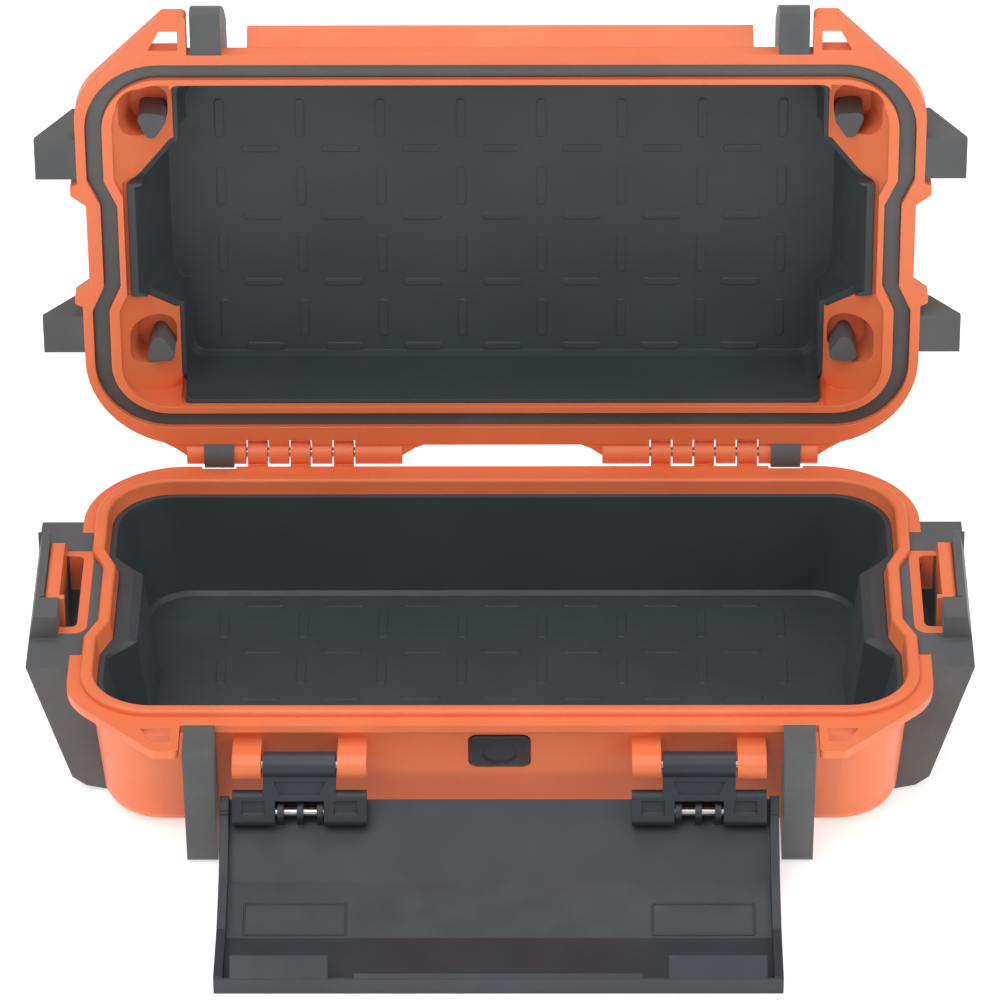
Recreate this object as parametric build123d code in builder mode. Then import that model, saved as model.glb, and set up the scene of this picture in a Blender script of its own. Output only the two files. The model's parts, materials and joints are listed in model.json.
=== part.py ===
"""Hard-shell camera case with a hinged lid, an over-centre latch and rubber guards.

Millimetres. X runs to the right, Y to the back and Z up. The case stands open on z = 0: the lid
is upright, the latch cover lies forward on the floor. Base sections are drawn on base planes.
Lid sections are drawn with the sizes of the closed case, on planes that stand the lid up.
"""
import os
from math import atan2, cos, degrees, radians, sin, sqrt, tan
from build123d import *

os.makedirs("parts", exist_ok=True)

# ---- driving dimensions ------------------------------------------------------------------
case_y = 14.5            # middle of the sealing ring, so that the open case is centred on the origin
seam = 44.0              # top of the base flange
lid_gap = 0.5            # gap between the two flanges when shut
lid_seam = seam + lid_gap
flange = 2.7             # thickness of the base flange
lid_flange = 4.8         # thickness of the lid flange
lid_top = 76.0           # outside of the lid's top panel, shut
tub_floor = 3.0          # underside of the tub
skin = 1.3               # liner thickness
liner_gap = 0.08         # liner to shell

ring_x = 119.6           # centre line of the sealing ring
ring_y = 60.3
ring_corner = 19.8
bead_half = 1.8          # half width of the sealing bead
bead_height = 2.0
gasket_half = 2.4
groove_half = 2.5
gasket_recess = 1.7

flange_x = 125.0
flange_front = -66.1
flange_back = 69.1
ear_front = -79.0
ear_inner = 91.3
ear_outer = 98.4
waist_y = -1.0           # middle of the step in the short sides
waist_round = 10.0

hinge_y = 73.05
hinge_z = 46.6
barrel = 3.65
hinge_pin = 1.5
running = 0.05
knuckle = 6.0
base_knuckles = (48.05, 61.15, 74.15)
lid_knuckles = (54.6, 67.65)

rail_inner = 81.3
rail_width = 8.9
guard_front = -37.3
guard_back = 38.7
guard_x = 137.4
slot_inner = 123.8       # strap slot in a side guard
slot_outer = 129.0
slot_front = -16.5
slot_back = 20.5
bar_outer = 133.5        # hook bar beside the strap slot
bar_top = 51.0

latch_y = -72.6          # axis of the pins in the base lugs
latch_z = 34.6
link_length = 13.46      # from the lug pin to the cover pin
link_angle = 242.1       # direction of the link at rest, from +Y towards +Z
link_end = 17.4          # from the lug pin to the link's free end
link_half = 2.1          # half thickness of a link
wing_start = 7.1
cover_angle = 217.0      # direction of the cover's first panel at rest
latch_x = (-57.1, 57.1)
latch_barrel = 3.9
stem_width = 20.8
wing_width = 38.5
lug_inner = 10.9
lug_outer = 19.2
ear_pin = 1.5
cover_pin = 1.2

cover_half = 80.0        # half width of the latch cover
cover_skin = 2.0
cover_inside = 4.4       # from the cover pin to the inner face of the first panel
window_width = 14.0      # opening in a link for the cover's fingers
finger_places = (-5.9, -0.2, 5.4)
finger_width = 1.8
finger_radius = 2.6
wall_width = 2.6         # side walls of the cover
wall_height = 3.5
lip_thickness = 1.8
lip_length = 23.0        # from the last bend to the outside of the lip

dash_pitch = 24.0
dash_rise = 0.25


# ---- planes ------------------------------------------------------------------------------
def base_level(height):
    return Plane(origin=(0, case_y, height))


def lid_level(height):
    return Plane(origin=(0, case_y + hinge_y - hinge_z + height, hinge_y + hinge_z),
                 x_dir=(1, 0, 0), z_dir=(0, 1, 0))


def base_side(x):
    return Plane(origin=(x, case_y, 0), x_dir=(0, 1, 0), z_dir=(1, 0, 0))


def lid_side(x):
    return Plane(origin=(x, case_y + hinge_y - hinge_z, hinge_y + hinge_z),
                 x_dir=(0, 0, -1), z_dir=(1, 0, 0))


def swung(angle, y, z, x):
    """Side plane at (y, z) whose first axis points along angle."""
    turn = radians(angle)
    return Plane(origin=(x, case_y + y, z), x_dir=(0, cos(turn), sin(turn)), z_dir=(1, 0, 0))


cover_y = latch_y + link_length * cos(radians(link_angle))
cover_z = latch_z + link_length * sin(radians(link_angle))


def cover_point(along, out):
    """Case Y and Z of a point given in the cover's own side view."""
    turn = radians(cover_angle)
    return cover_y + along * cos(turn) - out * sin(turn), cover_z + along * sin(turn) + out * cos(turn)


def link_side(x):
    return swung(link_angle, latch_y, latch_z, x)


def cover_side(x):
    return swung(cover_angle, cover_y, cover_z, x)


def across(y):
    """Upright plane across the case at y, seen from the front: X and Z."""
    return Plane(origin=(0, case_y + y, 0), x_dir=(1, 0, 0), z_dir=(0, -1, 0))


def lid_across(y):
    """The same plane for the lid: X and the height the lid has when shut."""
    return Plane(origin=(0, case_y + hinge_y - hinge_z, hinge_y + hinge_z - y), x_dir=(1, 0, 0), z_dir=(0, 0, 1))


def facing(angle, y, z, out):
    """Plane that faces out of a link or cover: X to the right, Y back up towards its pivot."""
    turn = radians(angle)
    normal = (0, sin(turn), -cos(turn))
    return Plane(origin=(0, case_y + y, z), x_dir=(1, 0, 0), z_dir=normal).offset(out)


# ---- sections ----------------------------------------------------------------------------
def case_section(plane, half_x, front, back, corner, waist, waist_half):
    """Rounded rectangle whose short sides step inwards by waist around waist_y."""
    side = [
        (half_x, front),
        (half_x, waist_y - waist_half - 8.5),
        (half_x - waist, waist_y - waist_half),
        (half_x - waist, waist_y + waist_half),
        (half_x, waist_y + waist_half + 8.5),
        (half_x, back),
    ]
    with BuildSketch(plane) as section:
        with BuildLine():
            Polyline(*side, *[(-x, y) for x, y in reversed(side)], close=True)
        make_face()
        corners = section.vertices().filter_by(lambda v: abs(v.Y) > ring_y / 2)
        steps = section.vertices().filter_by(lambda v: abs(v.Y) <= ring_y / 2)
        fillet(corners, corner)
        fillet(steps, waist_round)
    return section.sketch


def ring_section(plane, out):
    """Outline of the sealing ring, moved outwards by out."""
    return case_section(plane, ring_x + out, -ring_y - out, ring_y + out, ring_corner + out, 3.7, 14.0)


def flange_section(plane, tabs):
    """Outer outline of a flange with its two front ears; the lid's has tabs beside the waist."""
    waist = [(125.0, -22.5), (127.2, -21.5), (127.2, -18.5), (122.7, -15.0),
             (122.7, 12.5), (127.2, 16.0), (127.2, 19.0), (125.0, 20.0)]
    right = [
        (ear_inner, flange_front),
        (ear_inner, ear_front),
        (ear_outer, ear_front),
        (flange_x, ear_front + flange_x - ear_outer),
        *(waist if tabs else []),
        (flange_x, flange_back),
    ]
    hole = [(93.9, -67.6), (102.6, -67.6), (99.2, -74.0), (93.9, -74.0)]
    with BuildSketch(plane) as section:
        with BuildLine():
            Polyline(*right, *[(-x, y) for x, y in reversed(right)], close=True)
        make_face()
        fillet(section.vertices().filter_by(lambda v: v.Y > flange_back - 1), 30)
        fillet(section.vertices().filter_by(lambda v: -55 < v.Y < -50), 20)
        fillet(section.vertices().filter_by(lambda v: v.Y < ear_front + 1), 1.5)
        if tabs:
            fillet(section.vertices().filter_by(lambda v: abs(v.X) > 127), 0.8)
        for side in (-1, 1):
            with BuildLine():
                Polyline(*[(side * x, y) for x, y in hole], close=True)
            make_face(mode=Mode.SUBTRACT)
    return section.sketch


def polygon(plane, *points):
    with BuildSketch(plane) as section:
        with BuildLine():
            Polyline(*points, close=True)
        make_face()
    return section.sketch


def disc(plane, y, z, radius):
    with BuildSketch(plane) as section:
        with Locations((y, z)):
            Circle(radius)
    return section.sketch


def save(piece, name):
    piece.part.label = name
    export_step(piece.part, f"parts/{name}.step")


def save_mirrored(piece, name):
    """Write a right-hand piece, and its mirror image as the left-hand one."""
    save(piece, f"{name}_right")
    with BuildPart() as twin:
        mirror(piece.part, about=Plane.YZ)
    save(twin, f"{name}_left")


def stack(level, sections, inset=0.0):
    """Loft through case sections, each moved inwards by inset."""
    with BuildPart() as block:
        for height, half_x, front, back, corner, waist, waist_half in sections:
            add(case_section(level(height), half_x - inset, front + inset, back - inset,
                             corner - inset, waist, waist_half))
        loft(ruled=True)
    return block.part


vent_z = 32.5
vent_lean = degrees(atan2(6.6, seam - flange - tub_floor - 6))
vent_y = -64.5 + (seam - flange - vent_z) * tan(radians(vent_lean))


def vent_face(out):
    """Plane parallel to the sloping front wall at the vent, moved outwards."""
    lean = radians(vent_lean)
    return Plane(origin=(0, case_y + vent_y, vent_z), x_dir=(1, 0, 0), z_dir=(0, -cos(lean), -sin(lean))).offset(out)


def dashes(plane, upright_rows, level_rows):
    """Floor pattern: upright and level dashes in alternate columns."""
    with BuildSketch(plane) as pattern:
        for y in upright_rows:
            with Locations((0, y)):
                with GridLocations(dash_pitch, 1, 8, 1):
                    RectangleRounded(2.6, 13.0, 1.0)
        for y in level_rows:
            with Locations((0, y)):
                with GridLocations(dash_pitch, 1, 7, 1):
                    RectangleRounded(11.2, 2.3, 0.9)
    return pattern.sketch


# ---- base shell ----------------------------------------------------------------------------
tub_sections = (
    # height, half length, front, back, corner radius, waist, half length of the waist
    (seam - flange, 118.0, -64.5, 61.9, 19.0, 3.7, 14.0),
    (tub_floor + 3, 115.6, -57.3, 60.1, 18.5, 3.7, 14.0),
    (tub_floor + 0.9, 114.6, -56.2, 59.0, 17.5, 3.7, 14.0),
    (tub_floor, 113.3, -54.9, 57.7, 16.5, 3.7, 14.0),
)
cavity_sections = (
    (seam + bead_height, 117.8, -58.5, 58.5, 18.0, 3.7, 14.0),
    (41.0, 116.7, -58.0, 58.3, 18.0, 3.3, 17.0),
    (38.6, 116.0, -57.7, 58.2, 18.0, 8.4, 17.5),
    (6.3, 109.4, -54.3, 57.3, 16.0, 5.4, 18.0),
    (4.9, 108.2, -53.1, 56.1, 15.0, 5.0, 18.0),
)


def lug_section(x):
    """Side view of a latch lug: an arm under the flange that ends in a bored barrel."""
    arm = [(-60.0, 38.3), (-66.0, 38.3), (latch_y, latch_z + latch_barrel),
           (latch_y, latch_z - latch_barrel), (-60.0, latch_z - 8.0)]
    with BuildSketch(base_side(x)) as section:
        with BuildLine():
            Polyline(*arm, close=True)
        make_face()
        with Locations((latch_y, latch_z)):
            Circle(latch_barrel)
            Circle(ear_pin, mode=Mode.SUBTRACT)
    return section.sketch


def base_knuckle_section(x):
    """Side view of a base hinge knuckle: a web on the flange that ends in a bored barrel."""
    web = [(66.0, seam - flange), (66.0, seam - 0.2), (70.2, seam - 0.2), (hinge_y, hinge_z),
           (hinge_y + 1, seam - flange)]
    with BuildSketch(base_side(x)) as section:
        with BuildLine():
            Polyline(*web, close=True)
        make_face()
        with Locations((hinge_y, hinge_z)):
            Circle(barrel)
            Circle(hinge_pin, mode=Mode.SUBTRACT)
    return section.sketch


# The shell before it is hollowed: the rubber pieces are shaped against it.
with BuildPart() as shell_block:
    add(stack(base_level, tub_sections))
    extrude(flange_section(base_level(seam - flange), tabs=False), amount=flange)
    for side in (-1, 1):
        with BuildSketch(base_level(seam - flange)):
            with Locations((side * flange_x, 1.0)):
                Rectangle(30, 64)
            with Locations((side * (rail_inner + rail_width / 2), flange_back)):
                Rectangle(rail_width + 1.4, 2.4)
        extrude(amount=flange, mode=Mode.SUBTRACT)
    extrude(ring_section(base_level(seam - flange), bead_half), amount=flange + bead_height)

# Strap bracket in the right side guard: a frame around the slot and a hook bar beside it.
with BuildPart() as bracket:
    with BuildSketch(base_level(seam - 3)):
        with Locations((130.8, 1.55)):
            RectangleRounded(20.0, 42.9, 4.0)
        with Locations((128.8, 2.0)):
            RectangleRounded(10.0, slot_back - slot_front, 2.0, mode=Mode.SUBTRACT)
        with Locations((136.0, 0.0)):
            Rectangle(14.0, 60.0, mode=Mode.SUBTRACT)
    extrude(amount=3)
    with BuildSketch(base_level(32)):
        with Locations((127.25, 21.75)):
            Rectangle(12.9, 2.5)
    extrude(amount=seam - 32)
    with BuildSketch(base_level(32)):
        with Locations((118.0, 21.75)):
            Rectangle(10.0, 2.5)
    extrude(amount=8.5)
    with BuildSketch(base_level(34)):
        with Locations((118.0, -18.2)):
            Rectangle(10.0, 3.4)
    extrude(amount=8)
    bar = [(slot_outer, 23.1), (130.4, 23.1), (bar_outer, 18.4), (bar_outer, -9.8), (131.6, -12.0),
           (slot_outer - 1.5, -12.0), (slot_outer - 1.5, -10.2), (slot_outer, -10.2)]
    extrude(polygon(base_level(38.0), *bar), amount=bar_top - 38.0)
    extrude(polygon(base_side(slot_outer - 1), (17.0, bar_top), (23.1, 46.0), (24.0, 46.0), (24.0, bar_top + 1), (17.0, bar_top + 1)), amount=bar_outer - slot_outer + 2, mode=Mode.SUBTRACT)
    fillet(bracket.edges().filter_by(Axis.Y).group_by(Axis.Z)[-1].sort_by(Axis.X)[-1], 2.0)

with BuildPart() as base_shell:
    add(shell_block.part)
    add(bracket.part)
    mirror(bracket.part, about=Plane.YZ)
    for centre in latch_x:
        for near in (lug_inner, -lug_outer):
            extrude(lug_section(centre + near), amount=lug_outer - lug_inner)
    add(stack(base_level, cavity_sections), mode=Mode.SUBTRACT)
    rim = base_shell.faces().filter_by(Plane.XY).sort_by(lambda f: abs(f.center().Z - seam - bead_height))[0]
    fillet(rim.edges(), 1.0)
    with BuildSketch(vent_face(-1.6)):
        RectangleRounded(18.0, 13.6, 2.6)
    extrude(amount=4, mode=Mode.SUBTRACT)
    with BuildSketch(vent_face(-3.0)):
        Circle(5.5)
    extrude(amount=3, mode=Mode.SUBTRACT)
    with BuildSketch(vent_face(-9.0)):
        Circle(3.0)
    extrude(amount=9, mode=Mode.SUBTRACT)
    for side in (-1, 1):
        for place in base_knuckles:
            extrude(base_knuckle_section(side * place - knuckle / 2), amount=knuckle)
    for centre in latch_x:
        for near in (lug_inner, -lug_outer):
            with BuildSketch(base_side(centre + near)):
                with Locations((latch_y, latch_z)):
                    Circle(ear_pin)
            extrude(amount=lug_outer - lug_inner, mode=Mode.SUBTRACT)
save(base_shell, "base_shell")

# ---- base: liner, vent and rubber ------------------------------------------------------------
floor_top = 6.3

with BuildPart() as base_liner:
    add(stack(base_level, cavity_sections[1:], liner_gap))
    inner_sections = [(height + skin, *rest) for height, *rest in cavity_sections[1:]]
    inner_sections[-1] = (floor_top, *cavity_sections[-1][1:])
    add(stack(base_level, inner_sections, liner_gap + skin), mode=Mode.SUBTRACT)
    upright_rows = (39.1, 14.8, -9.5, -33.8)
    level_rows = (50.1, 25.4, 1.0, -23.3)
    extrude(dashes(base_level(floor_top - dash_rise), upright_rows, level_rows), amount=2 * dash_rise)
save(base_liner, "base_liner")

with BuildPart() as side_guard:
    outline = [(100.0, seam), (guard_x, seam), (129.9, 19.5), (125.4, 5.0), (121.4, 2.0), (112.3, 0.0), (100.0, 0.0)]
    extrude(polygon(across(guard_back), *outline), amount=guard_back - guard_front)
    strip = [(slot_outer, 30.0), (slot_outer, 51.6), (135.9, 51.6), (guard_x, seam), (134.0, 30.0)]
    extrude(polygon(across(22.5), *strip), amount=45.0)
    strip_end = [(22.0, 40.0), (22.0, 51.6), (23.1, seam), (23.1, 40.0)]
    extrude(polygon(base_side(bar_outer + 0.6), *strip_end), amount=3.2)
    with BuildSketch(base_level(-1.0)):
        with Locations(((slot_inner + slot_outer) / 2, (slot_front + slot_back) / 2)):
            RectangleRounded(slot_outer - slot_inner, slot_back - slot_front, 0.8)
    extrude(amount=60, mode=Mode.SUBTRACT)
    with BuildSketch(base_level(seam - 6)):
        with Locations((131.25, 5.55)):
            Rectangle(4.5, 35.1)
        with Locations((130.5, -12.1)):
            Rectangle(8.0, 0.6)
    extrude(amount=20, mode=Mode.SUBTRACT)
    add(shell_block.part, mode=Mode.SUBTRACT)
    add(bracket.part, mode=Mode.SUBTRACT)
save_mirrored(side_guard, "side_guard")

with BuildPart() as base_rail:
    foot = [(-79.7, seam), (-73.0, 1.6), (-71.3, 0.0), (66.5, 0.0), (70.0, 3.5), (70.0, 40.0), (0.0, 40.0), (0.0, seam)]
    extrude(polygon(base_side(rail_inner), *foot), amount=rail_width)
    add(shell_block.part, mode=Mode.SUBTRACT)
save_mirrored(base_rail, "base_rail")

with BuildPart() as vent_seal:
    with BuildSketch(vent_face(-3.0)):
        Circle(5.4)
        Circle(3.4, mode=Mode.SUBTRACT)
    extrude(amount=0.7)
save(vent_seal, "vent_seal")

with BuildPart() as vent_membrane:
    with BuildSketch(vent_face(-2.3)):
        Circle(5.3)
    extrude(amount=0.65)
save(vent_membrane, "vent_membrane")

with BuildPart() as vent_cap:
    with BuildSketch(vent_face(-1.6)):
        RectangleRounded(17.0, 12.6, 2.2)
    extrude(amount=2.0)
    fillet(vent_cap.faces().sort_by(Axis.Y)[0].edges(), 0.5)
    with BuildSketch(vent_face(-0.1)):
        Circle(5.2)
    extrude(amount=2, mode=Mode.SUBTRACT)
    with BuildSketch(vent_face(-2.0)):
        for angle in (45, 135, 225, 315):
            SlotArc(CenterArc((0, 0), 4.2, angle - 27, 54), 1.0)
    extrude(amount=4, mode=Mode.SUBTRACT)
save(vent_cap, "vent_cap")

pin_start = 32.0
pin_end = 93.5
with BuildPart() as hinge_pin_piece:
    extrude(disc(base_side(pin_start), hinge_y, hinge_z, hinge_pin), amount=pin_end - pin_start)
save_mirrored(hinge_pin_piece, "hinge_pin")

with BuildPart() as latch_ear_pin:
    extrude(disc(base_side(latch_x[1] - lug_outer), latch_y, latch_z, ear_pin), amount=2 * lug_outer)
save_mirrored(latch_ear_pin, "latch_ear_pin")

# ---- lid: shell ------------------------------------------------------------------------------
lid_sections = (
    (lid_seam + 1, 119.4, -63.8, 63.7, 19.0, 3.7, 14.0),
    (74.0, 113.0, -45.2, 58.0, 17.0, 3.7, 14.0),
    (lid_top, 110.6, -42.6, 55.6, 15.0, 3.7, 14.0),
)
lid_front = -56.0        # inside edges of the lid's rim
lid_back = 55.5
lid_floor = 72.9         # inside of the shell's top panel
ramp_outer = 114.0       # corner ramps: from the rim down to the tray
ramp_inner = 96.8
ramp_high = 45.7
ramp_deep = 57.5
lobe_front = -21.4
lobe_back = 17.6
lobe = ((90.0, -31.0), (98.6, -31.0), (108.6, lobe_front), (111.6, lobe_front),
        (111.6, lobe_back), (108.6, lobe_back), (98.6, 27.4), (90.0, 27.4))
lobe_low = ((90.0, -31.0), (96.9, -31.0), (99.6, -28.4), (100.8, lobe_front),
            (100.8, lobe_back), (99.6, 24.8), (96.9, 27.4), (90.0, 27.4))


def lobe_outline(height, points, side, gap, limit):
    """Plan of one lobe on the lid at height, drawn in by gap and cut off at limit."""
    outline = []
    for x, y in points:
        reach = min(x, limit) if x < 95 else min(x - gap, limit)
        outline.append((side * reach, y + gap if y < 0 else y - gap))
    return polygon(lid_level(height), *outline)


def lid_hollow(gap, top, deep, lobe_x):
    """Space inside the lid drawn in by gap: the tray, and a lobe at each end that reaches lobe_x."""
    levels = (
        (top, ramp_inner + 0.2, lid_front, lid_back, 3.0),
        (50.0, ramp_inner + 0.1, lid_front, lid_back, 3.0),
        (deep - 2.5, ramp_inner, -44.4, 54.2, 5.0),
        (deep, ramp_inner - 1.6, -42.8, 53.4, 4.4),
    )
    with BuildPart() as space:
        for height, half_x, front, back, corner in levels:
            with BuildSketch(lid_level(height)):
                with Locations((0, (front + back) / 2)):
                    RectangleRounded(2 * (half_x - gap), back - front - 2 * gap, corner)
        loft(ruled=True)
        for side in (-1, 1):
            add(lobe_outline(top, lobe, side, gap, lobe_x))
            add(lobe_outline(deep, lobe_low, side, gap, lobe_x))
            loft(ruled=True)
    return space.part


def lid_knuckle_section(x):
    """Side view of a lid hinge knuckle, shut: a web over the flange and a bored barrel."""
    web = [(64.0, lid_seam + 0.2), (70.2, lid_seam + 0.2), (hinge_y, hinge_z), (hinge_y, hinge_z + barrel),
           (70.0, 50.0), (64.0, lid_seam + lid_flange)]
    with BuildSketch(lid_side(x)) as section:
        with BuildLine():
            Polyline(*web, close=True)
        make_face()
        with Locations((hinge_y, hinge_z)):
            Circle(barrel)
    return section.sketch


lid_bosses = ((30.3, 44.55), (77.65, 95.5))

with BuildPart() as lid_block:
    add(stack(lid_level, lid_sections))
    extrude(flange_section(lid_level(lid_seam), tabs=True), amount=lid_flange)
    for side in (-1, 1):
        for place in base_knuckles:
            with BuildSketch(lid_level(lid_seam - 1)):
                with Locations((side * place, hinge_y - 1.5)):
                    Rectangle(knuckle + 1, 8.2)
            extrude(amount=lid_flange + 2, mode=Mode.SUBTRACT)
        for near, far in lid_bosses:
            start = near if side > 0 else -far
            extrude(lid_knuckle_section(start), amount=far - near)
        for place in lid_knuckles:
            extrude(lid_knuckle_section(side * place - knuckle / 2), amount=knuckle)
        for gusset in (
            [(22.0, 68.5), (26.5, 70.4), (30.4, 73.2), (30.4, 68.5)],
            [(95.4, 68.5), (95.4, 73.2), (99.0, 70.4), (103.0, 68.0)],
        ):
            extrude(polygon(lid_level(lid_seam + 0.2), *[(side * x, y) for x, y in gusset]), amount=lid_flange - 0.2)

with BuildPart() as ramps:
    rim = case_section(lid_level(lid_seam), ramp_outer, lid_front, lid_back, 14.2, 3.7, 14.0)
    extrude(rim, amount=ramp_deep - lid_seam)
    with BuildSketch(lid_across(60.0)):
        for side in (-1, 1):
            slope = [(ramp_inner, lid_seam), (ramp_outer, lid_seam), (ramp_outer, ramp_high),
                     (ramp_inner, ramp_deep)]
            with BuildLine():
                Polyline(*[(side * x, z) for x, z in slope], close=True)
            make_face()
    extrude(amount=120.0, mode=Mode.INTERSECT)

post_tip = 50.5
post_floor = 60.5
post_places = ((102.4, -38.6), (102.4, 38.6))
post_wells = (((105.6, -45.0), (103.8, -42.2)), ((105.0, 34.6), (103.6, 37.0)))

with BuildPart() as lid_shell:
    add(lid_block.part)
    keeper = [(-60.0, 52.0), (-66.2, 62.2), (-60.8, 69.4), (-55.6, 70.0), (-54.8, 69.5), (-54.2, 66.5),
              (-51.8, 63.5), (-48.0, 63.5), (-54.0, 52.0)]
    extrude(polygon(lid_side(-74.3), *keeper), amount=148.6)
    extrude(ring_section(lid_level(lid_seam), groove_half), amount=3.4, mode=Mode.SUBTRACT)
    extrude(ring_section(lid_level(lid_seam), -groove_half), amount=3.4)
    add(lid_hollow(0.0, lid_seam, lid_floor, 111.4), mode=Mode.SUBTRACT)
    for side in (-1, 1):
        extrude(lobe_outline(lid_seam, lobe, side, 0.0, 111.6), amount=48.0 - lid_seam, mode=Mode.SUBTRACT)
    add(ramps.part, mode=Mode.SUBTRACT)
    for side in (-1, 1):
        for (x, y), (low_x, low_y) in post_wells:
            with BuildSketch(lid_level(lid_seam)):
                with Locations((side * x, y)):
                    RectangleRounded(14.0, 19.4, 6.8)
            with BuildSketch(lid_level(post_floor)):
                with Locations((side * low_x, low_y)):
                    RectangleRounded(11.4, 13.6, 5.4)
            loft(mode=Mode.SUBTRACT)
    for side in (-1, 1):
        start = pin_start - 0.5 if side > 0 else -pin_end - 0.5
        extrude(disc(base_side(start), hinge_y, hinge_z, hinge_pin + running), amount=pin_end - pin_start + 1,
                mode=Mode.SUBTRACT)
save(lid_shell, "lid_shell")

# ---- lid: liner, gasket and rubber -------------------------------------------------------------
with BuildPart() as lid_liner:
    add(lid_hollow(liner_gap, lid_seam, lid_floor - liner_gap, 111.3))
    add(lid_hollow(liner_gap + skin, lid_seam, lid_floor - liner_gap - skin, 108.9), mode=Mode.SUBTRACT)
    with BuildSketch(lid_level(lid_seam)):
        Rectangle(2 * flange_x, 2 * flange_x)
    extrude(amount=2.1, mode=Mode.SUBTRACT)
    with BuildSketch(lid_across(60.0)):
        for side in (-1, 1):
            above = [(95.3, 44.0), (115.0, 44.0), (115.0, ramp_high), (ramp_inner, ramp_deep - 0.1),
                     (95.3, ramp_deep - 0.1)]
            with BuildLine():
                Polyline(*[(side * x, z) for x, z in above], close=True)
            make_face()
    extrude(amount=60.0 - lobe_back, mode=Mode.SUBTRACT)
    with BuildSketch(lid_across(lobe_front)):
        for side in (-1, 1):
            with BuildLine():
                Polyline(*[(side * x, z) for x, z in above], close=True)
            make_face()
    extrude(amount=60.0 + lobe_front, mode=Mode.SUBTRACT)
    tray_floor = lid_floor - liner_gap - skin
    upright_rows = (-29.4, -5.9, 17.6, 40.5)
    level_rows = (-19.0, 4.5, 27.7, 50.6)
    extrude(dashes(lid_level(tray_floor - dash_rise), upright_rows, level_rows), amount=2 * dash_rise)
save(lid_liner, "lid_liner")

with BuildPart() as lid_gasket:
    extrude(ring_section(lid_level(lid_seam + gasket_recess), gasket_half), amount=1.7)
    extrude(ring_section(lid_level(lid_seam + gasket_recess), -gasket_half), amount=1.7, mode=Mode.SUBTRACT)
save(lid_gasket, "lid_gasket")

with BuildPart() as lid_rail:
    arch = [(-66.0, lid_seam), (-79.7, lid_seam), (-80.0, 48.5), (-77.5, 54.0), (-70.0, 66.0), (-60.0, 77.5),
            (-50.0, 79.0), (60.0, 79.0), (66.0, 70.0), (77.5, 50.0), (77.8, hinge_z), (60.0, hinge_z)]
    extrude(polygon(lid_side(rail_inner), *arch), amount=rail_width)
    extrude(disc(base_side(rail_inner), hinge_y, hinge_z, barrel + 1.1), amount=rail_width)
    add(lid_block.part, mode=Mode.SUBTRACT)
    extrude(disc(base_side(rail_inner), hinge_y, hinge_z, barrel), amount=rail_width, mode=Mode.SUBTRACT)
save_mirrored(lid_rail, "lid_rail")

bumpers = (
    # name, front, back, depth along the side, reach at the far end
    ("lid_bumper_front", -37.6, -24.2, 18.6, 127.0),
    ("lid_bumper_rear", 23.5, 36.0, 12.0, 128.5),
)
for name, front, back, depth, reach in bumpers:
    with BuildPart() as bumper:
        outline = [(112.0, lid_seam), (137.2, lid_seam), (137.2, lid_seam + 1.5), (reach, lid_seam + depth),
                   (112.0, lid_seam + depth)]
        extrude(polygon(lid_across(back), *outline), amount=back - front)
        add(lid_block.part, mode=Mode.SUBTRACT)
    save_mirrored(bumper, name)

post_shape = ((-5.4, -3.9), (5.5, -4.8), (1.0, 6.4))
for name, (x, y) in (("lid_post_front", post_places[0]), ("lid_post_rear", post_places[1])):
    turn = -1 if y > 0 else 1
    with BuildPart() as post:
        with BuildSketch(lid_level(post_tip)) as outline:
            with BuildLine():
                Polyline(*[(x + aside, y + turn * along) for aside, along in post_shape], close=True)
            make_face()
            fillet(outline.vertices(), 2.1)
        extrude(amount=post_floor - post_tip)
        add(lid_shell.part, mode=Mode.SUBTRACT)
    save_mirrored(post, name)

# ---- latch -------------------------------------------------------------------------------------
latch_centre = latch_x[1]
free_end = link_end - link_half

with BuildPart() as latch_link:
    with BuildSketch(link_side(latch_centre - stem_width / 2)):
        Circle(latch_barrel)
        with Locations((free_end / 2, 0)):
            SlotCenterToCenter(free_end, 2 * link_half)
    extrude(amount=stem_width)
    with BuildSketch(link_side(latch_centre - wing_width / 2)):
        with Locations(((wing_start + link_half + free_end) / 2, 0)):
            SlotCenterToCenter(free_end - wing_start - link_half, 2 * link_half)
    extrude(amount=wing_width)
    front = facing(link_angle, latch_y, latch_z, link_half)
    with BuildSketch(front):
        with Locations((latch_centre, -14.5)):
            Rectangle(window_width, 8.6)
    extrude(amount=-3 * link_half, mode=Mode.SUBTRACT)
    with BuildSketch(front):
        with BuildLine():
            Polyline((latch_centre - 7.5, -4.6), (latch_centre + 7.5, -4.6), (latch_centre + 5.5, -8.6),
                     (latch_centre - 5.5, -8.6), close=True)
        make_face()
        with Locations((latch_centre - 13.2, -12.2), (latch_centre + 13.2, -12.2)):
            Rectangle(6.6, 4.0)
    extrude(amount=-0.8, mode=Mode.SUBTRACT)
    with BuildSketch(link_side(latch_centre - wing_width)):
        Circle(ear_pin + running)
    extrude(amount=2 * wing_width, mode=Mode.SUBTRACT)
    with BuildSketch(link_side(latch_centre - wing_width)):
        with Locations((link_length, 0)):
            Circle(cover_pin)
    extrude(amount=2 * wing_width, mode=Mode.SUBTRACT)
save_mirrored(latch_link, "latch_link")

with BuildPart() as cover_pin_piece:
    with BuildSketch(link_side(latch_centre - wing_width / 2 + 0.6)):
        with Locations((link_length, 0)):
            Circle(cover_pin)
    extrude(amount=wing_width - 1.2)
save_mirrored(cover_pin_piece, "cover_pin")

# Inner face of the cover from the pin side to the last bend, then the flat third panel.
first_end = 19.6
second_length = 20.2
second_lean = 22.0
third_lean = 37.0
bend = (first_end + second_length * cos(radians(second_lean)),
        cover_inside - second_length * sin(radians(second_lean)))
lip_turn = radians(third_lean)


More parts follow.
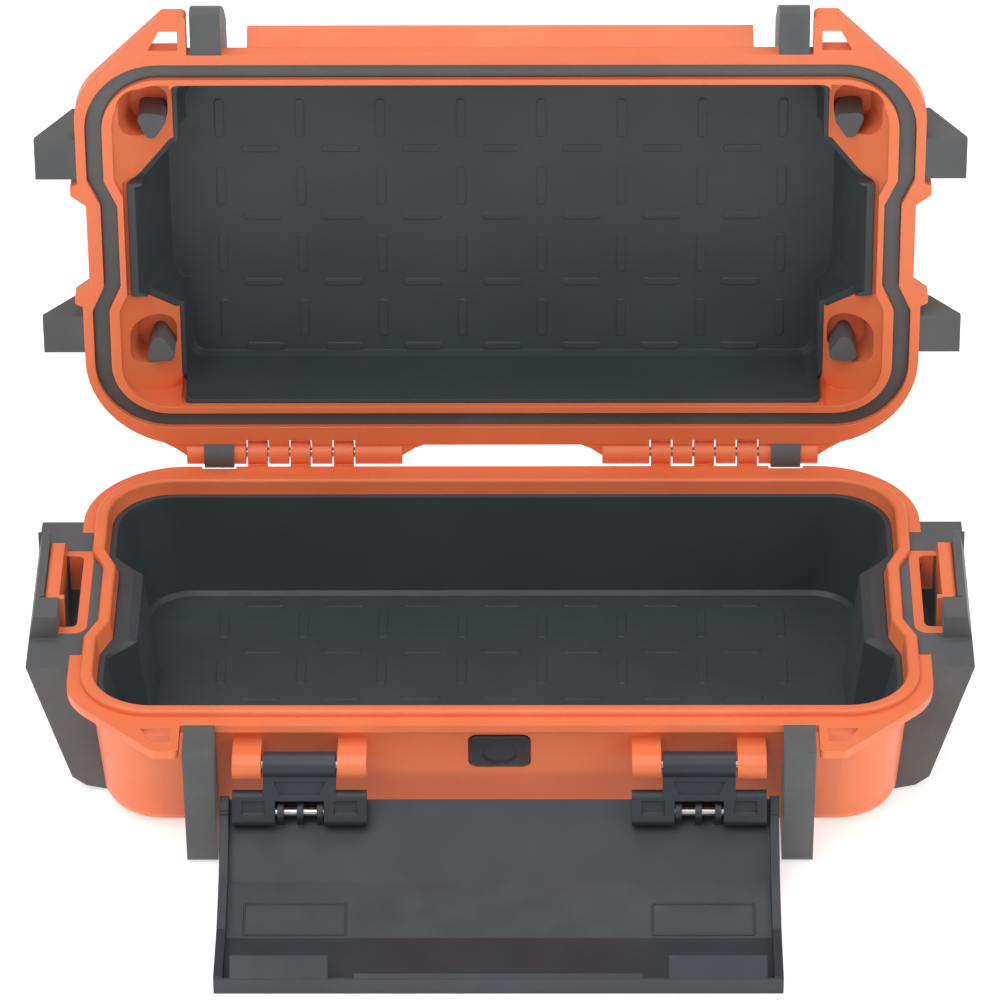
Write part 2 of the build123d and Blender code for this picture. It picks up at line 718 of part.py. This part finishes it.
def on_third(along, out):
    """Point on the third panel in the cover's own side view."""
    return (bend[0] + along * cos(lip_turn) + out * sin(lip_turn),
            bend[1] - along * sin(lip_turn) + out * cos(lip_turn))


inner_line = [(-5.0, cover_inside), (first_end, cover_inside), bend, on_third(lip_length, 0.0)]


def hook_profile(x, reach):
    """Side view of the lip: a wall square to the third panel whose edge turns back at 45 degrees."""
    turned = reach / sqrt(2)
    edge = lip_thickness * sqrt(2)
    return polygon(
        cover_side(x),
        on_third(lip_length - lip_thickness, 0.5),
        on_third(lip_length, 0.5),
        on_third(lip_length, -3.0),
        on_third(lip_length - turned, -3.0 - turned),
        on_third(lip_length - turned - edge / 2, -3.0 - turned + edge / 2),
        on_third(lip_length - lip_thickness, -3.0 - lip_thickness + edge),
    )


with BuildPart() as latch_cover:
    with BuildSketch(cover_side(-cover_half)):
        with BuildLine():
            Polyline(*inner_line)
            offset(amount=cover_skin, side=Side.LEFT)
        make_face()
    extrude(amount=2 * cover_half)
    for start in (-cover_half, cover_half - wall_width):
        with BuildSketch(cover_side(start)):
            with BuildLine():
                Polyline(*[(u, v + 0.5) for u, v in inner_line])
                offset(amount=wall_height + 0.5, side=Side.RIGHT)
            make_face()
        extrude(amount=wall_width)
    extrude(hook_profile(-cover_half, 0.3), amount=2 * cover_half)
    extrude(hook_profile(-40.6, 1.7), amount=81.2)
    for start in (-75.5, 47.8):
        extrude(hook_profile(start, 6.8), amount=27.7)
    second = facing(cover_angle - second_lean, *cover_point(first_end, cover_inside), 0.0)
    with BuildSketch(second):
        for x in (-58.0, 58.0):
            with Locations((x, -13.6)):
                RectangleRounded(29.4, 11.6, 0.8)
                RectangleRounded(28.4, 10.6, 0.5, mode=Mode.SUBTRACT)
    extrude(amount=0.25)
    for place in (*finger_places, *[-x for x in finger_places]):
        centre = latch_centre if place in finger_places else -latch_centre
        with BuildSketch(cover_side(centre + place - finger_width / 2)):
            Circle(finger_radius)
            with Locations((0, cover_inside / 2)):
                Rectangle(2 * finger_radius, cover_inside + 0.4)
        extrude(amount=finger_width)
    with BuildSketch(cover_side(-cover_half)):
        Circle(cover_pin + running)
    extrude(amount=2 * cover_half, mode=Mode.SUBTRACT)
save(latch_cover, "latch_cover")
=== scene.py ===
"""Looks, light and camera for the open camera case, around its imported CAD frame. Metres."""
import json
import math

import bpy
from mathutils import Matrix, Vector


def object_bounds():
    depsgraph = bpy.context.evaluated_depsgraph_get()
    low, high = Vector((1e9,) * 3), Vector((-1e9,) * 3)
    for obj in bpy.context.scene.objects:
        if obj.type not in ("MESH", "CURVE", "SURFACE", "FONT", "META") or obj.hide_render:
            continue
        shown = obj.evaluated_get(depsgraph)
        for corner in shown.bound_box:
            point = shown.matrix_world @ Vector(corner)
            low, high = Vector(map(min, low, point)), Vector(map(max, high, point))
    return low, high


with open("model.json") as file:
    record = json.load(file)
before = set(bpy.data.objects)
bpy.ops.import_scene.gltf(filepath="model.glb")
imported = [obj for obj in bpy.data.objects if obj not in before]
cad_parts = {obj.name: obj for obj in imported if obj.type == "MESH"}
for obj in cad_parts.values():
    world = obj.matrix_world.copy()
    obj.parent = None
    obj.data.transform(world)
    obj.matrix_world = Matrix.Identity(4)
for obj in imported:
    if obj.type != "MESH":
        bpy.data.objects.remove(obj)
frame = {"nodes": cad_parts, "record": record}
cad_low, cad_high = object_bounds()

ORANGE = (0.84, 0.178, 0.062)
ORANGE_LIGHT = (0.92, 0.238, 0.096)
LINER = (0.036, 0.046, 0.051)
LINER_LIGHT = (0.054, 0.067, 0.073)
NYLON = (0.019, 0.023, 0.031)
NYLON_LIGHT = (0.038, 0.044, 0.054)
RUBBER = (0.082, 0.086, 0.090)
RUBBER_LIGHT = (0.145, 0.146, 0.146)
SILICONE = (0.072, 0.077, 0.078)
SILICONE_LIGHT = (0.120, 0.125, 0.125)
STEEL = (0.52, 0.51, 0.49)
STEEL_LIGHT = (0.72, 0.71, 0.69)
FELT = (0.055, 0.056, 0.060)
FELT_LIGHT = (0.11, 0.11, 0.115)

EDGE_RADIUS = 0.0005     # how far the shading rounds a moulded edge
BROAD = 28.0             # noise scales, per metre
SMUDGE = 90.0
GRAIN = 2600.0
SCRATCH = 420.0
RELIEF_DEPTH = 0.0001    # height of the surface grain
WORN_AND_LIT_GAIN = 1.25         # how much lighter an edge is than the light tint: partly wear, partly a painted highlight
BEVEL_SAMPLES = 6

# Each range runs from low, high of the input to low, high of the output.
EDGE_RANGE = (0.99, 0.80, 0.0, 1.0)
DRIFT_RANGE = (0.30, 0.70, 0.0, 0.55)
SPECK_RANGE = (0.35, 0.75, 0.0, 0.22)
SMUDGE_RANGE = (0.35, 0.70, -0.05, 0.07)
SCRATCH_STRETCH = (1.0, 0.12, 0.12)

FLOOR_SIZE = 12.0
FLOOR_DROP = 0.0002      # keeps the floor clear of the feet's undersides
WORLD_STRENGTH = 0.45
PAPER_GLOW = 0.55


# ---- materials ---------------------------------------------------------------------------
def link(tree, source, target):
    tree.links.new(source, target)


def noise(tree, coordinates, scale, detail, roughness=0.55):
    node = tree.nodes.new("ShaderNodeTexNoise")
    node.inputs["Scale"].default_value = scale
    node.inputs["Detail"].default_value = detail
    node.inputs["Roughness"].default_value = roughness
    link(tree, coordinates, node.inputs["Vector"])
    return node.outputs["Fac"]


def remap(tree, value, low, high, to_low, to_high):
    node = tree.nodes.new("ShaderNodeMapRange")
    for name, number in (("From Min", low), ("From Max", high), ("To Min", to_low), ("To Max", to_high)):
        node.inputs[name].default_value = number
    link(tree, value, node.inputs["Value"])
    return node.outputs["Result"]


def mix_colour(tree, factor, first, second):
    """Blend of two colours: each is a tuple or another node's output."""
    node = tree.nodes.new("ShaderNodeMix")
    node.data_type = "RGBA"
    link(tree, factor, node.inputs[0])
    for socket, colour in ((node.inputs[6], first), (node.inputs[7], second)):
        if isinstance(colour, tuple):
            socket.default_value = (*colour, 1.0)
        else:
            link(tree, colour, socket)
    return node.outputs[2]


def arithmetic(tree, operation, first, second):
    node = tree.nodes.new("ShaderNodeMath")
    node.operation = operation
    for socket, value in ((node.inputs[0], first), (node.inputs[1], second)):
        if isinstance(value, (int, float)):
            socket.default_value = value
        else:
            link(tree, value, socket)
    return node.outputs["Value"]


def stretched(tree, coordinates, stretch):
    node = tree.nodes.new("ShaderNodeMapping")
    node.inputs["Scale"].default_value = stretch
    link(tree, coordinates, node.inputs["Vector"])
    return node.outputs["Vector"]


def edge_mask(tree, rounded_normal):
    """1 on a convex or concave edge, 0 on flat ground: how far the rounded normal leaves the true one."""
    geometry = tree.nodes.new("ShaderNodeNewGeometry")
    dot = tree.nodes.new("ShaderNodeVectorMath")
    dot.operation = "DOT_PRODUCT"
    link(tree, rounded_normal, dot.inputs[0])
    link(tree, geometry.outputs["True Normal"], dot.inputs[1])
    return remap(tree, dot.outputs["Value"], *EDGE_RANGE)


def moulded(name, base, light, roughness, grain, wear_and_highlight, scratch=0.02, metallic=0.0, sheen=0.0, specular=0.5):
    """Moulded surface: drifting tint, spark-erosion grain, smudges, fine scratches, and edges painted
    lighter, partly as wear and partly as a painted highlight.
    """
    material = bpy.data.materials.new(name)
    material.use_nodes = True
    tree = material.node_tree
    shader = tree.nodes["Principled BSDF"]
    place = tree.nodes.new("ShaderNodeTexCoord").outputs["Object"]

    bevel = tree.nodes.new("ShaderNodeBevel")
    bevel.samples = BEVEL_SAMPLES
    bevel.inputs["Radius"].default_value = EDGE_RADIUS
    edges = edge_mask(tree, bevel.outputs["Normal"])

    drift = remap(tree, noise(tree, place, BROAD, 3.0), *DRIFT_RANGE)
    speck = remap(tree, noise(tree, place, GRAIN, 2.0), *SPECK_RANGE)
    tint = arithmetic(tree, "ADD", drift, speck)
    body = mix_colour(tree, tint, base, light)
    # Convex and concave edges are painted lighter: partly wear, partly a painted highlight standing in for
    # the glint along rounded edges.
    worn_and_lit = arithmetic(tree, "MULTIPLY", edges, wear_and_highlight)
    worn_and_lit_colour = tuple(min(1.0, WORN_AND_LIT_GAIN * channel) for channel in light)
    link(tree, mix_colour(tree, worn_and_lit, body, worn_and_lit_colour), shader.inputs["Base Color"])

    smudge = remap(tree, noise(tree, place, SMUDGE, 5.0, 0.65), *SMUDGE_RANGE)
    link(tree, arithmetic(tree, "ADD", smudge, roughness), shader.inputs["Roughness"])

    scratches = noise(tree, stretched(tree, place, SCRATCH_STRETCH), SCRATCH, 4.0, 0.7)
    relief = arithmetic(tree, "ADD", noise(tree, place, GRAIN, 3.0),
                        arithmetic(tree, "MULTIPLY", scratches, scratch))
    bump = tree.nodes.new("ShaderNodeBump")
    bump.inputs["Strength"].default_value = grain
    bump.inputs["Distance"].default_value = RELIEF_DEPTH
    link(tree, relief, bump.inputs["Height"])
    link(tree, bevel.outputs["Normal"], bump.inputs["Normal"])
    link(tree, bump.outputs["Normal"], shader.inputs["Normal"])

    shader.inputs["Metallic"].default_value = metallic
    shader.inputs["Specular IOR Level"].default_value = specular
    shader.inputs["Sheen Weight"].default_value = sheen
    material.diffuse_color = (*base, 1.0)
    return material


materials = {
    "orange_shell": moulded("orange_shell", ORANGE, ORANGE_LIGHT, 0.42, 0.22, 0.55),
    "dark_liner": moulded("dark_liner", LINER, LINER_LIGHT, 0.46, 0.30, 0.35, sheen=0.04),
    "dark_latch": moulded("dark_latch", NYLON, NYLON_LIGHT, 0.44, 0.26, 0.45),
    "rubber_guard": moulded("rubber_guard", RUBBER, RUBBER_LIGHT, 0.66, 0.40, 0.45,
                            sheen=0.12, specular=0.35),
    "gasket_rubber": moulded("gasket_rubber", SILICONE, SILICONE_LIGHT, 0.36, 0.12, 0.30),
    "steel_pin": moulded("steel_pin", STEEL, STEEL_LIGHT, 0.30, 0.10, 0.20, scratch=0.6, metallic=1.0),
    "vent_membrane": moulded("vent_membrane", FELT, FELT_LIGHT, 0.88, 0.80, 0.10, sheen=0.3),
}
for part in frame["record"]["subparts"]:
    shape = frame["nodes"][part["node"]]
    shape.data.materials.clear()
    shape.data.materials.append(materials[part["material_slot"]])
    for face in shape.data.polygons:
        face.material_index = 0


# ---- floor, light and camera ---------------------------------------------------------------
def aim(thing, target):
    thing.rotation_mode = "QUATERNION"
    thing.rotation_quaternion = (target - thing.location).to_track_quat("-Z", "Y")


def softbox(name, location, size, power, target):
    lamp = bpy.data.lights.new(name, "AREA")
    lamp.shape = "RECTANGLE"
    lamp.size, lamp.size_y = size
    lamp.energy = power
    holder = bpy.data.objects.new(name, lamp)
    bpy.context.scene.collection.objects.link(holder)
    holder.location = location
    aim(holder, target)


middle = (cad_low + cad_high) / 2

bpy.ops.mesh.primitive_plane_add(size=FLOOR_SIZE, location=(0, 0, -FLOOR_DROP))
floor = bpy.context.object
floor.name = "floor"
paper = bpy.data.materials.new("paper")
paper.use_nodes = True
paper_shader = paper.node_tree.nodes["Principled BSDF"]
paper_shader.inputs["Base Color"].default_value = (0.93, 0.93, 0.93, 1.0)
paper_shader.inputs["Roughness"].default_value = 0.9
paper_shader.inputs["Emission Color"].default_value = (1.0, 1.0, 1.0, 1.0)
paper_shader.inputs["Emission Strength"].default_value = PAPER_GLOW
floor.data.materials.append(paper)

world = bpy.data.worlds.new("studio")
world.use_nodes = True
world.node_tree.nodes["Background"].inputs["Color"].default_value = (1.0, 1.0, 1.0, 1.0)
world.node_tree.nodes["Background"].inputs["Strength"].default_value = WORLD_STRENGTH
bpy.context.scene.world = world
bpy.context.scene.view_settings.view_transform = "Standard"

for name, location, size, power in (
    ("key", (-0.5, -0.9, 1.5), (1.2, 1.0), 11.0),
    ("fill", (1.1, -0.8, 0.9), (1.0, 1.0), 4.4),
    ("overhead", (0.0, 0.25, 1.3), (1.6, 0.7), 6.5),
):
    softbox(name, Vector(location), size, power, middle)

# The camera looks down at the case from the front, nearly square to it.
CAMERA_DISTANCE = 1.9
CAMERA_ELEVATION = math.radians(33.45)
CAMERA_AZIMUTH = math.radians(0.6)
CAMERA_ROLL = math.radians(-0.38)
CAMERA_LENS = 235.4
AIM_BEHIND_MIDDLE = 0.0105
AIM_HEIGHT = 0.080
SENSOR_WIDTH = 36.0
target = Vector((0.0, middle.y + AIM_BEHIND_MIDDLE, AIM_HEIGHT))
away = Vector((
    math.sin(CAMERA_AZIMUTH) * math.cos(CAMERA_ELEVATION),
    -math.cos(CAMERA_AZIMUTH) * math.cos(CAMERA_ELEVATION),
    math.sin(CAMERA_ELEVATION),
))
lens = bpy.data.cameras.new("camera")
lens.lens = CAMERA_LENS
lens.sensor_width = SENSOR_WIDTH
camera = bpy.data.objects.new("camera", lens)
bpy.context.scene.collection.objects.link(camera)
camera.location = target + CAMERA_DISTANCE * away
camera.rotation_mode = "QUATERNION"
level = (-away).to_track_quat("-Z", "Y")
camera.rotation_quaternion = level @ Matrix.Rotation(CAMERA_ROLL, 3, "Z").to_quaternion()
bpy.context.scene.camera = camera
